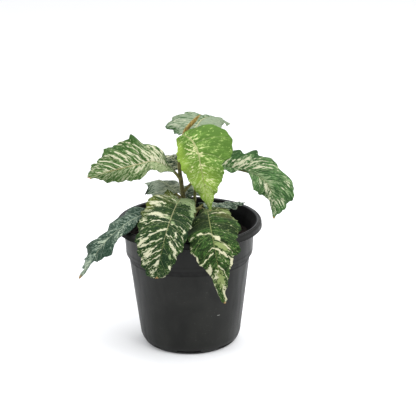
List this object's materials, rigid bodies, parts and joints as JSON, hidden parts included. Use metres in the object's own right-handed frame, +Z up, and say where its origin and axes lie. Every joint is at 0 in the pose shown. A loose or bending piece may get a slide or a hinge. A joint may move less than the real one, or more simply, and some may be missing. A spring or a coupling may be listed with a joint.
{
  "type": "potted clown fig",
  "caption": "Young clown fig with broad marbled leaves, one lime new leaf and a brown bud sheath, growing in soil in a plain black round nursery pot that stands on a flat base.",
  "frame": {"origin": "middle of the pot's flat bottom, on the surface it stands on", "axes": "+Z up, the side the picture shows towards -Y, +X to the right of the picture"},
  "size_m": [0.2206, 0.1861, 0.2408],
  "materials": {
    "pot_plastic": "satin black injection-moulded plastic",
    "potting_mix": "loose dark peat with bark crumbs",
    "stem_skin": "olive brown, finely hairy",
    "bud_sheath": "dry papery brown",
    "leaf_marbled": "dark green marbled with cream, satin",
    "leaf_lime": "lime green flecked with cream, satin"
  },
  "bodies": {
    "root": {"pot": "pot_plastic", "soil": "potting_mix", "stem_main": "stem_skin", "stem_side": "stem_skin", "bud_sheath": "bud_sheath", "leaf_upper_left": "leaf_marbled", "leaf_top_back": "leaf_marbled", "leaf_new": "leaf_lime", "leaf_upper_right": "leaf_marbled", "leaf_mid_left": "leaf_marbled", "leaf_low_left": "leaf_marbled", "leaf_front_left": "leaf_marbled", "leaf_front_right": "leaf_marbled", "leaf_low_right": "leaf_marbled", "leaf_mid_back": "leaf_marbled", "leaf_low_back": "leaf_marbled"}
  },
  "joints": []
}
